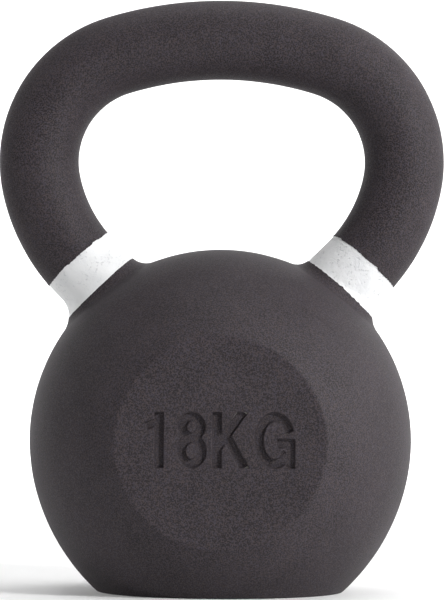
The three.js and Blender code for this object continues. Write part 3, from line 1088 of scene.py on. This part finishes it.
class KETTLEBELL_OT_bands(bpy.types.Operator):
    """Builds the painted band round each horn, tucked under the coats on both sides"""

    bl_idname = "kettlebell.bands"
    bl_label = "Painted bands"

    def execute(self, context):
        sizes = context.scene.kettlebell_sizes
        grip = Grip(sizes)
        material = band_paint()
        under = 2.2 * MM  # how far the paint runs on below the coats
        for name, side in (("left", -1), ("right", 1)):
            upper_at, upper_tilt = UPPER_RIMS[side]
            lower_at, lower_tilt = LOWER_RIMS[side]
            upper = (grip.length + upper_at - under, upper_tilt)
            lower = (grip.length + lower_at + under * 0.5, lower_tilt)
            first, last = (upper, lower) if side > 0 else (lower, upper)
            values = sleeve_values(sizes, grip, side, sizes.paint_inset)
            values |= {
                "From": side * first[0],
                "From tilt": side * first[1],
                "To": side * last[0],
                "To tilt": side * last[1],
                "Lip round": 0.1 * MM,
                "Tuck": 0.3 * MM,
                "Unevenness": 0.05 * MM,
                "Dents": 0.08 * MM,
                "Dent size": 1.9 * MM,
                "Seed": sizes.seed + 13 * side,
            }
            piece = sleeve(f"{name}_band_paint", values, material, 81, 256)
            settle(piece, f"{name}_band")
        return {"FINISHED"}


def aim(thing, target, roll=0.0):
    """Turns a light or a camera to a point."""
    way = Vector(target) - thing.location
    thing.rotation_mode = "QUATERNION"
    thing.rotation_quaternion = way.to_track_quat("-Z", "Y") @ Matrix.Rotation(roll, 4, "Z").to_quaternion()


def soft_light(name, place, target, wide, tall, power):
    light = bpy.data.lights.new(name, "AREA")
    light.shape = "RECTANGLE"
    light.size, light.size_y, light.energy = wide, tall, power
    lamp = bpy.data.objects.new(name, light)
    lamp.location = place
    bpy.context.scene.collection.objects.link(lamp)
    aim(lamp, target)


def studio_floor():
    """A round floor that bends up into a wall all round."""
    reach, rise, bend, steps = 7.0, 6.0, 3.0, 16
    profile = [(reach - bend, 0.0)]
    for step in range(1, steps + 1):
        angle = math.pi / 2 * step / steps
        profile.append((reach - bend + bend * math.sin(angle), bend - bend * math.cos(angle)))
    profile.append((reach, rise))
    shell = Shell()
    rings = shell.rings([circle(96, across, height, "Z") for across, height in profile])
    shell.fan(rings[0], (0, 0, 0))
    floor = mesh_object("studio_floor", shell.points, shell.faces, plain_floor())
    floor.data.flip_normals()  # it is seen from inside
    return floor


# Square lights round the object: name, place, width and power in watts.
LIGHTS = (
    ("key_light", (1.30, -1.26, 0.97), 0.34, 35.0),
    ("top_light", (0.0, -0.05, 2.1), 1.6, 18.5),
    ("top_back_light", (0.0, 0.95, 1.9), 1.2, 5.5),
    ("back_right_light", (1.08, 0.91, 1.53), 1.0, 10.0),
    ("right_light", (1.95, 0.0, 0.6), 0.8, 14.0),
    ("left_light", (-1.75, -0.1, 1.1), 0.9, 5.0),
)


def studio_camera():
    """A long lens, straight in front and a little below the middle."""
    camera = bpy.data.objects.new("camera", bpy.data.cameras.new("camera"))
    camera.data.sensor_width = 36
    camera.data.lens = 212.2
    camera.data.clip_start, camera.data.clip_end = 0.05, 50
    aside = 0.62 * MM
    camera.location = (aside, -1.53, 97.5 * MM)
    bpy.context.scene.collection.objects.link(camera)
    aim(camera, (aside, 0, 125.8 * MM), math.radians(0.3))
    return camera


class KETTLEBELL_OT_stage(bpy.types.Operator):
    """Sets up the floor, the backdrop, the lights and the camera"""

    bl_idname = "kettlebell.stage"
    bl_label = "Studio"

    def execute(self, context):
        scene = context.scene
        floor = studio_floor()
        middle = (0, 0, 0.12)
        for name, place, wide, power in LIGHTS:
            soft_light(name, place, middle, wide, wide, power)
        soft_light("wall_light", (0, 2.0, 3.0), (0, 6.5, 0.6), 4.0, 2.0, 420.0)

        # All light comes from the lamps and the floor's glow, and none from outside.
        world = bpy.data.worlds.new("studio_world")
        world.use_nodes = True
        world.node_tree.nodes["Background"].inputs["Strength"].default_value = 0.0
        scene.world = world
        scene.view_settings.view_transform = "Standard"
        scene.camera = studio_camera()
        return {"FINISHED"}


class KETTLEBELL_PT_sidebar(bpy.types.Panel):
    """Lists the steps that build the kettlebell"""

    bl_idname = "KETTLEBELL_PT_sidebar"
    bl_label = "Kettlebell"
    bl_space_type = "VIEW_3D"
    bl_region_type = "UI"
    bl_category = "Kettlebell"

    def draw(self, context):
        for step in STEPS:
            self.layout.operator(step.bl_idname)
        for group in (context.scene.kettlebell_sizes, context.scene.kettlebell_colours):
            box = self.layout.box()
            for name in group.__annotations__:
                box.prop(group, name)


STEPS = (
    KETTLEBELL_OT_casting,
    KETTLEBELL_OT_ball,
    KETTLEBELL_OT_handle,
    KETTLEBELL_OT_bands,
    KETTLEBELL_OT_stage,
)
CLASSES = (KettlebellSizes, KettlebellColours, *STEPS, KETTLEBELL_PT_sidebar)


def register():
    for group in CLASSES:
        bpy.utils.register_class(group)
    bpy.types.Scene.kettlebell_sizes = PointerProperty(type=KettlebellSizes)
    bpy.types.Scene.kettlebell_colours = PointerProperty(type=KettlebellColours)


def unregister():
    del bpy.types.Scene.kettlebell_colours
    del bpy.types.Scene.kettlebell_sizes
    for group in reversed(CLASSES):
        bpy.utils.unregister_class(group)


def main():
    register()
    bpy.ops.kettlebell.casting()
    bpy.ops.kettlebell.ball()
    bpy.ops.kettlebell.handle()
    bpy.ops.kettlebell.bands()
    bpy.ops.kettlebell.stage()


if __name__ == "__main__":
    main()
